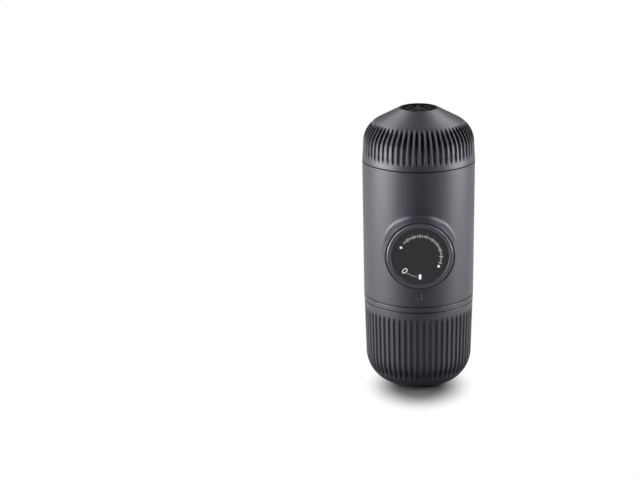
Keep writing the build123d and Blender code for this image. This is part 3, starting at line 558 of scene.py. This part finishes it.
# %% A whole thread
def screw_thread(name, wall_radius, depth, low, high, phase):
    """All starts of one thread as a single piece."""
    mesh = bmesh.new()
    for start in range(THREAD_STARTS):
        at_low = 360.0 * low / lead + phase + start * 360.0 / THREAD_STARTS
        thread_ridge(mesh, wall_radius, depth, low, high, at_low)
    bmesh.ops.recalc_face_normals(mesh, faces=mesh.faces)
    data = bpy.data.meshes.new(name)
    mesh.to_mesh(data)
    mesh.free()
    piece = bpy.data.objects.new(name, data)
    bpy.context.scene.collection.objects.link(piece)
    return piece


def radii_near(node, height, reach=0.2 * MM):
    """Smallest and largest radius of a node's points within reach of a height."""
    points = nodes[node].data.vertices
    found = [point.co.xy.length for point in points if abs(point.co.z - height) < reach]
    return min(found), max(found)


print("from ridge to ridge:", round(lead / THREAD_STARTS / MM, 2), "mm")

# %% [markdown]
# The four threads are the screw and the socket of each joint. A screw sits on the outside of its
# sleeve and takes the shell's grey; a socket sits in the bore of its collar and takes the inner
# black. Each rides on the body that its sleeve belongs to.

# %% The four threads
HALF_PITCH = 180.0 / THREAD_STARTS
MARGIN = 0.4 * MM

head_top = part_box("head_shell")[1].z
collar_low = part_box("lower_collar")[0].z
tank_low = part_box("tank_shell")[0].z
body_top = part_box("main_shell")[1].z
deck_collar_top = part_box("upper_collar")[1].z
skirt_radius = radii_near("head_shell", head_top)[1]
spigot_radius = radii_near("tank_shell", tank_low)[1]
lower_bore = radii_near("lower_collar", collar_low)[0]
upper_bore = radii_near("upper_collar", deck_collar_top)[0]
print("radii in mm:", [round(r / MM, 2) for r in (skirt_radius, spigot_radius, lower_bore, upper_bore)])

for name, radius, depth, low, high, phase, body, slot in (
    ("head_thread", skirt_radius, THREAD_DEPTH, collar_low, head_top, 0.0, "outlet_head", "shell_grey"),
    ("tank_thread", spigot_radius, THREAD_DEPTH, tank_low, body_top, 0.0, "tank", "shell_grey"),
    ("head_socket_thread", lower_bore, -THREAD_DEPTH, collar_low, head_top, HALF_PITCH,
     "main_body", "inner_black"),
    ("tank_socket_thread", upper_bore, -THREAD_DEPTH, tank_low, deck_collar_top, HALF_PITCH,
     "main_body", "inner_black"),
):
    thread = screw_thread(name, radius, depth, low + MARGIN, high - MARGIN, phase)
    thread.data.materials.append(finishes[slot])
    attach(thread, body)
    print(name, len(thread.data.polygons), "faces")

# %% [markdown]
# ## The studio
# A pale floor runs under the object, and the studio behind it is white to the eye. The floor is a
# plane; it isn't part of the object. Its paint is made in three
# steps: how it burns out to white, how it throws light back, and how the two are put together.

# %% Floor
FLOOR_SIZE = 6.0

bpy.ops.mesh.primitive_plane_add(size=FLOOR_SIZE, location=(0, 0, cad_box[0].z))
floor = settle(bpy.context.object)
floor.name = "floor"
floor_paint = bpy.data.materials.new("floor_paint")
floor_paint.use_nodes = True
floor.data.materials.append(floor_paint)
print("floor at z", round(floor.data.vertices[0].co.z, 4))

# %% [markdown]
# ### Burning out to white
# A product floor looks white because it is lit far more than the object. Here the object would
# clip too, so the white is a glow that only the camera's rays see, which Light Path tells apart.
# It fades out into an oval under the foot, where the camera sees the floor's dark grey paint: the
# oval is painted shade, and the object's real shadow falls in it too. The oval's middle lies a
# little towards the camera, and a Mapping node puts it there.

# %% The oval of painted shade
SHADE_PLACE, SHADE_SQUEEZE = (0, 0.014, 0), (1.35, 1.0, 1.0)
BURN_FROM, BURN_TO = 0.014, 0.043


def soft_step(tree, low, high, **sockets):
    """A value that eases from 0 at low to 1 at high."""
    ends = {"From_Min": low, "From_Max": high}
    return add_node(tree, "MapRange", {"interpolation_type": "SMOOTHSTEP"}, **ends, **sockets)


tree = floor_paint.node_tree
rays = add_node(tree, "LightPath")
where = add_node(tree, "TexCoord")
around = add_node(tree, "Mapping", Location=SHADE_PLACE, Scale=SHADE_SQUEEZE)
away = add_node(tree, "VectorMath", {"operation": "LENGTH"})
burn_out = soft_step(tree, BURN_FROM, BURN_TO)
glow_share = add_node(tree, "Math", {"operation": "MULTIPLY"})
wire(
    tree,
    (where, "Object", around, "Vector"),
    (around, "Vector", away, 0),
    (away, "Value", burn_out, "Value"),
    (burn_out, "Result", glow_share, 0),
    (rays, "Is Camera Ray", glow_share, 1),
)
print("all white from", round(BURN_TO / MM), "mm off the oval's middle, towards the camera")

# %% [markdown]
# ### Throwing light back
# The satin body mirrors the floor around it. In a studio the boards beside the object are light,
# and the table in front of it is dark, which keeps the middle of the body dark. Painting the whole
# floor one grey can't give both, so for all rays but the camera's, the floor's colour holds painted
# light beside and behind the object and painted shade in front. Under the heel it holds a painted
# contact shade.

# %% Painted light and shade in the floor's tone, for the light that it throws back
PAINTED_SHADE_IN_FRONT, PAINTED_LIGHT_BESIDE = 0.08, 0.42
BESIDE_FROM, BESIDE_TO = 0.03, 0.16
BEHIND_FROM, BEHIND_TO = -0.14, -0.05
HEEL_FROM, HEEL_TO, PAINTED_HEEL_SHADE = 0.025, 0.065, 0.18

split = add_node(tree, "SeparateXYZ")
sideways = add_node(tree, "Math", {"operation": "ABSOLUTE"})
# painted light beside and behind the object, painted shade in front of it
beside = soft_step(tree, BESIDE_FROM, BESIDE_TO)
behind = soft_step(tree, BEHIND_FROM, BEHIND_TO)
lit = add_node(tree, "Math", {"operation": "MAXIMUM"})
painted_bounce_tone = add_node(tree, "MapRange", To_Min=PAINTED_SHADE_IN_FRONT, To_Max=PAINTED_LIGHT_BESIDE)
# painted contact shade: the floor's colour goes dark under the heel
painted_heel_shade = soft_step(tree, HEEL_FROM, HEEL_TO, To_Min=PAINTED_HEEL_SHADE)
painted_bounce_light_and_shade = add_node(tree, "Math", {"operation": "MULTIPLY"})
wire(
    tree,
    (where, "Object", split, "Vector"),
    (split, "X", sideways, 0),
    (sideways, 0, beside, "Value"),
    (split, "Y", behind, "Value"),
    (beside, "Result", lit, 0),
    (behind, "Result", lit, 1),
    (lit, 0, painted_bounce_tone, "Value"),
    (away, "Value", painted_heel_shade, "Value"),
    (painted_bounce_tone, "Result", painted_bounce_light_and_shade, 0),
    (painted_heel_shade, "Result", painted_bounce_light_and_shade, 1),
)
print("tone in front", PAINTED_SHADE_IN_FRONT, "beside", PAINTED_LIGHT_BESIDE)

# %% [markdown]
# ### The paint itself
# The paint is matt, with a polished coat that only the camera's rays meet: it mirrors the foot
# softly. For the camera's rays its colour is a dark grey, which is the painted shade of the oval;
# for all other rays it is the painted light and shade above. Where the oval ends, the glow takes
# over.

# %% Floor paint
# the floor's colour seen by the camera, dark so that the oval shows as painted shade
SEEN_SHADE_TONE = (0.15, 0.15, 0.153, 1.0)
WHITE = (1.0, 1.0, 1.0, 1.0)
SHEEN_SHARE, SHEEN_ROUGHNESS = 0.45, 0.16

paint = tree.nodes["Principled BSDF"]
paint.inputs["Roughness"].default_value = 0.8
paint.inputs["Specular IOR Level"].default_value = 0.0
tone = add_node(tree, "Mix", {"data_type": "RGBA"}, B=SEEN_SHADE_TONE)
sheen = add_node(tree, "BsdfGlossy", Color=WHITE, Roughness=SHEEN_ROUGHNESS)
sheen_share = add_node(tree, "Math", {"operation": "MULTIPLY"})
sheen_share.inputs[1].default_value = SHEEN_SHARE
polished = add_node(tree, "MixShader")
glow = add_node(tree, "Emission", Color=WHITE)
blend_in = add_node(tree, "MixShader")
wire(
    tree,
    (painted_bounce_light_and_shade, 0, tone, "A"),
    (rays, "Is Camera Ray", tone, "Factor"),
    (tone, "Result", paint, "Base Color"),
    (rays, "Is Camera Ray", sheen_share, 0),
    (sheen_share, 0, polished, "Fac"),
    (paint, "BSDF", polished, 1),
    (sheen, "BSDF", polished, 2),
    (glow_share, 0, blend_in, "Fac"),
    (polished, "Shader", blend_in, 1),
    (glow, "Emission", blend_in, 2),
    (blend_in, "Shader", tree.nodes["Material Output"], "Surface"),
)
print("floor nodes:", len(tree.nodes))

# %% [markdown]
# ### World
# The world is white where the camera looks at it or looks through something clear. What the object
# reflects is another matter: a white world would wash the dark plastic out, so for reflections and
# for light it is almost black in front and a dim grey behind.

# %% World
ROOM_FROM, ROOM_TO = -0.1, 0.9
ROOM_DARK, ROOM_DIM = 0.01, 0.15

world = bpy.data.worlds.new("studio_world")
bpy.context.scene.world = world
world.use_nodes = True
tree = world.node_tree
sky = tree.nodes["Background"]
sky.inputs["Color"].default_value = WHITE
facing = add_node(tree, "TexCoord")
parts = add_node(tree, "SeparateXYZ")
room = soft_step(tree, ROOM_FROM, ROOM_TO, To_Min=ROOM_DARK, To_Max=ROOM_DIM)
rays = add_node(tree, "LightPath")
seen = add_node(tree, "Math", {"operation": "MAXIMUM"})
strength = add_node(tree, "Mix", B=1.0)
wire(
    tree,
    (facing, "Generated", parts, "Vector"),
    (parts, "Y", room, "Value"),
    (rays, "Is Camera Ray", seen, 0),
    (rays, "Is Transmission Ray", seen, 1),
    (seen, 0, strength, "Factor"),
    (room, "Result", strength, "A"),
    (strength, "Result", sky, "Strength"),
)
print("world nodes:", len(tree.nodes))

# %% [markdown]
# ### Softboxes
# A long low softbox on each side draws the two broad soft bands on the smooth body, with a darker
# middle between them. One more on each side, above eye level, lights the shoulder and the cone of
# the tank, and a pair high behind picks out the top. A single tall box on each side could do all
# this, but from the side its mirror image would burn out the far edge of the shoulder. So the part
# between the low and the upper box is a fill that lights the object but shows in no reflection.

# %% Softboxes
LAMP_TARGET = (0, 0, 0.09)
SOFTBOXES = {
    # name: (place, width and height, watts, shows in reflections)
    "softbox_left": ((-0.78, -0.20, 0.10), (0.66, 0.24), 7.4, True),
    "softbox_right": ((0.79, -0.10, 0.10), (0.52, 0.24), 4.9, True),
    "soft_fill_left": ((-0.78, -0.20, 0.40), (0.66, 0.36), 9.5, False),
    "soft_fill_right": ((0.79, -0.10, 0.40), (0.52, 0.36), 6.5, False),
    "softbox_upper_left": ((-0.74, -0.05, 0.62), (0.5, 0.36), 5.6, True),
    "softbox_upper_right": ((0.74, -0.05, 0.62), (0.5, 0.36), 5.2, True),
    "softbox_back_left": ((-0.50, 0.56, 0.86), (0.5, 0.5), 3.2, True),
    "softbox_back_right": ((0.50, 0.56, 0.86), (0.5, 0.5), 3.2, True),
}
for name, (place, size, watts, reflected) in SOFTBOXES.items():
    data = bpy.data.lights.new(name, "AREA")
    data.shape = "RECTANGLE"
    data.size, data.size_y = size
    data.energy = watts
    lamp = bpy.data.objects.new(name, data)
    bpy.context.scene.collection.objects.link(lamp)
    lamp.location = place
    lamp.rotation_euler = (Vector(LAMP_TARGET) - Vector(place)).to_track_quat("-Z", "Y").to_euler()
    lamp.visible_glossy = reflected
print("softboxes:", len(SOFTBOXES), "watts in all:", round(sum(box[2] for box in SOFTBOXES.values()), 1))

# %% [markdown]
# ## The camera
# The view is the usual one of a product on a table: a long lens from about 1.1 m, a little above
# the object and almost square to the knob. The object stands right of the middle of the picture.
# Turning the camera would slant its sides, so a lens shift moves it there instead.

# %% Camera
PICTURE_WIDTH = 640.0
PICTURE_MIDDLE = (319.5, 239.5)
AXIS_AT = (418.15, 240.0)
FOCAL_PIXELS = 1982.3
SENSOR = 36.0
LOOK_AT_HEIGHT = 80.3 * MM
DISTANCE = 1.1022
PITCH = math.radians(16.52)
TURN = math.radians(1.07)

camera_data = bpy.data.cameras.new("camera")
camera_data.sensor_width = SENSOR
camera_data.lens = FOCAL_PIXELS / PICTURE_WIDTH * SENSOR
camera_data.shift_x = -(AXIS_AT[0] - PICTURE_MIDDLE[0]) / PICTURE_WIDTH
camera_data.shift_y = (AXIS_AT[1] - PICTURE_MIDDLE[1]) / PICTURE_WIDTH
camera = bpy.data.objects.new("camera", camera_data)
bpy.context.scene.collection.objects.link(camera)
bpy.context.scene.camera = camera
flat = math.cos(PITCH)
back = Vector((-math.sin(TURN) * flat, -math.cos(TURN) * flat, math.sin(PITCH)))
camera.location = Vector((0, 0, LOOK_AT_HEIGHT)) + back * DISTANCE
camera.rotation_euler = (-back).to_track_quat("-Z", "Y").to_euler()
bpy.context.scene.view_settings.view_transform = "Standard"
print("lens", round(camera_data.lens, 1), "mm, camera at", [round(v, 3) for v in camera.location])
